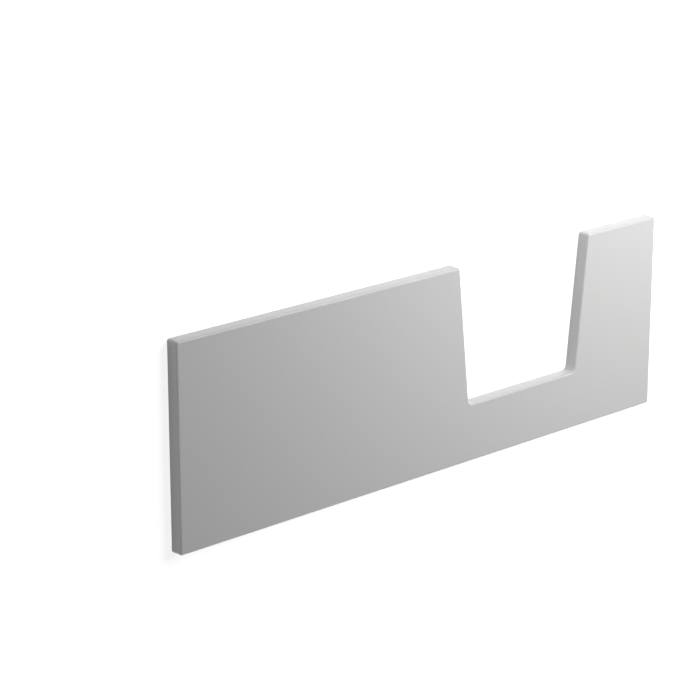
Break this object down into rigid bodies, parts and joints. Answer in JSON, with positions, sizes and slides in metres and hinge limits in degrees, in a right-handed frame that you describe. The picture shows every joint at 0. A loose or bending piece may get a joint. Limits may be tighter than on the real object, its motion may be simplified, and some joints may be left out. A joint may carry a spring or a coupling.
{
  "type": "bath panel",
  "caption": "Thermoformed white acrylic front panel for a walk-in bath, with turned-back edges all round and a tapered door notch open at the top edge.",
  "frame": {"origin": "middle of the outline, on the plane of the trimmed back rim that the panel lies on", "axes": "+X along the length towards the end next to the door notch, +Y from the floor edge to the edge under the bath's rim, +Z out of the show face"},
  "size_m": [1.7, 0.55, 0.035],
  "materials": {
    "white_acrylic": "gloss"
  },
  "bodies": {
    "root": {"bath_panel": "white_acrylic"}
  },
  "joints": []
}
